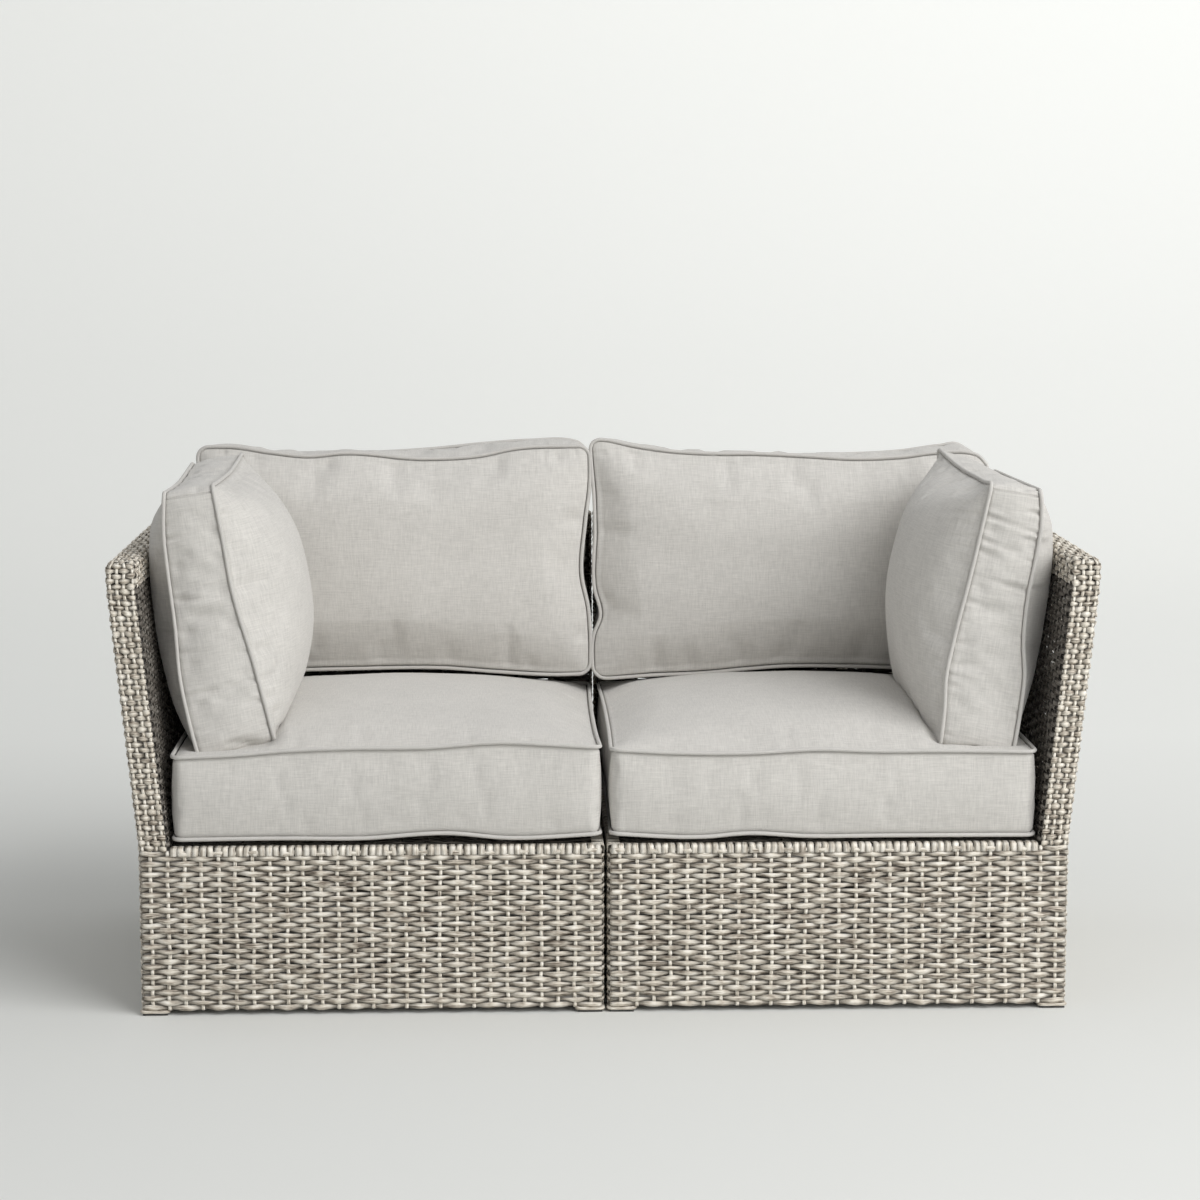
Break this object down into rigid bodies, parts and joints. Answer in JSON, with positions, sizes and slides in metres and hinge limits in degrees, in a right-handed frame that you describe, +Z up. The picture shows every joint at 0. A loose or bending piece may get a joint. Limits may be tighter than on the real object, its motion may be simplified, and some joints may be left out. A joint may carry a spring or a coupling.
{
  "type": "patio loveseat",
  "caption": "Woven resin patio loveseat of mirrored corner modules standing side by side, with piped box seat, back and side cushions.",
  "frame": {"origin": "on the floor, midway across and midway front to back", "axes": "+X to the right seen from the front, the front faces -Y, +Z up"},
  "size_m": [1.532, 0.7636, 0.8455],
  "materials": {
    "resin_weave": "streaked cream and taupe flat strand, satin",
    "frame_tube": "powder coated",
    "glide_plastic": "moulded",
    "cushion_fabric": "slubby plain weave",
    "piping_fabric": "cord covered in the cushion's own cloth",
    "cushion_fill": "foam and fibre",
    "zip_tape": "woven tape with a nylon coil",
    "zip_metal": "painted"
  },
  "bodies": {
    "left_module": {"left_base_frame": "frame_tube", "left_seat_slats": "frame_tube", "left_arm_frame": "frame_tube", "left_back_frame": "frame_tube", "left_glides": "glide_plastic", "left_leg_wraps": "resin_weave", "left_front_weave": "resin_weave", "left_outer_side_weave": "resin_weave", "left_rear_weave": "resin_weave", "left_inner_side_weave": "resin_weave", "left_arm_inner_weave": "resin_weave", "left_back_inner_weave": "resin_weave", "left_end_weave": "resin_weave", "left_rim_weave": "resin_weave", "left_deck_weave": "resin_weave"},
    "left_seat_cushion": {"left_seat_cover": "cushion_fabric", "left_seat_fill": "cushion_fill", "left_seat_piping": "piping_fabric", "left_seat_zip": "zip_tape"},
    "left_seat_zip_pull": {"left_seat_zip_slider": "zip_metal"},
    "left_back_cushion": {"left_back_cover": "cushion_fabric", "left_back_fill": "cushion_fill", "left_back_piping": "piping_fabric", "left_back_zip": "zip_tape"},
    "left_back_zip_pull": {"left_back_zip_slider": "zip_metal"},
    "left_side_cushion": {"left_side_cover": "cushion_fabric", "left_side_fill": "cushion_fill", "left_side_piping": "piping_fabric", "left_side_zip": "zip_tape"},
    "left_side_zip_pull": {"left_side_zip_slider": "zip_metal"},
    "right_module": {"right_base_frame": "frame_tube", "right_seat_slats": "frame_tube", "right_arm_frame": "frame_tube", "right_back_frame": "frame_tube", "right_glides": "glide_plastic", "right_leg_wraps": "resin_weave", "right_front_weave": "resin_weave", "right_outer_side_weave": "resin_weave", "right_rear_weave": "resin_weave", "right_inner_side_weave": "resin_weave", "right_arm_inner_weave": "resin_weave", "right_back_inner_weave": "resin_weave", "right_end_weave": "resin_weave", "right_rim_weave": "resin_weave", "right_deck_weave": "resin_weave"},
    "right_seat_cushion": {"right_seat_cover": "cushion_fabric", "right_seat_fill": "cushion_fill", "right_seat_piping": "piping_fabric", "right_seat_zip": "zip_tape"},
    "right_seat_zip_pull": {"right_seat_zip_slider": "zip_metal"},
    "right_back_cushion": {"right_back_cover": "cushion_fabric", "right_back_fill": "cushion_fill", "right_back_piping": "piping_fabric", "right_back_zip": "zip_tape"},
    "right_back_zip_pull": {"right_back_zip_slider": "zip_metal"},
    "right_side_cushion": {"right_side_cover": "cushion_fabric", "right_side_fill": "cushion_fill", "right_side_piping": "piping_fabric", "right_side_zip": "zip_tape"},
    "right_side_zip_pull": {"right_side_zip_slider": "zip_metal"}
  },
  "joints": [
    {"name": "left_seat_cushion_pull", "type": "slide", "parent": "left_module", "child": "left_seat_cushion", "axis": [0, -1, 0], "range_m": [0, 0.3]},
    {"name": "left_seat_zip_pull_slide", "type": "slide", "parent": "left_seat_cushion", "child": "left_seat_zip_pull", "axis": [-1, 0, 0], "range_m": [0, 0.51687]},
    {"name": "left_back_cushion_lift", "type": "slide", "parent": "left_module", "child": "left_back_cushion", "axis": [0, 0.1011, 0.9949], "range_m": [0, 0.3]},
    {"name": "left_back_zip_pull_slide", "type": "slide", "parent": "left_back_cushion", "child": "left_back_zip_pull", "axis": [1, 0, 0], "range_m": [0, 0.46071]},
    {"name": "left_side_cushion_lift", "type": "slide", "parent": "left_module", "child": "left_side_cushion", "axis": [-0.1011, 0, 0.9949], "range_m": [0, 0.3]},
    {"name": "left_side_zip_pull_slide", "type": "slide", "parent": "left_side_cushion", "child": "left_side_zip_pull", "axis": [-0.1616, 0, 0.9869], "range_m": [0, 0.2546]},
    {"name": "right_module_slide", "type": "slide", "parent": "left_module", "child": "right_module", "axis": [1, 0, 0], "range_m": [0, 0.5]},
    {"name": "right_seat_cushion_pull", "type": "slide", "parent": "right_module", "child": "right_seat_cushion", "axis": [0, -1, 0], "range_m": [0, 0.3]},
    {"name": "right_seat_zip_pull_slide", "type": "slide", "parent": "right_seat_cushion", "child": "right_seat_zip_pull", "axis": [1, 0, 0], "range_m": [0, 0.51687]},
    {"name": "right_back_cushion_lift", "type": "slide", "parent": "right_module", "child": "right_back_cushion", "axis": [0, 0.1011, 0.9949], "range_m": [0, 0.3]},
    {"name": "right_back_zip_pull_slide", "type": "slide", "parent": "right_back_cushion", "child": "right_back_zip_pull", "axis": [-1, 0, 0], "range_m": [0, 0.46071]},
    {"name": "right_side_cushion_lift", "type": "slide", "parent": "right_module", "child": "right_side_cushion", "axis": [0.1011, 0, 0.9949], "range_m": [0, 0.3]},
    {"name": "right_side_zip_pull_slide", "type": "slide", "parent": "right_side_cushion", "child": "right_side_zip_pull", "axis": [0.1616, 0, 0.9869], "range_m": [0, 0.2546]}
  ]
}
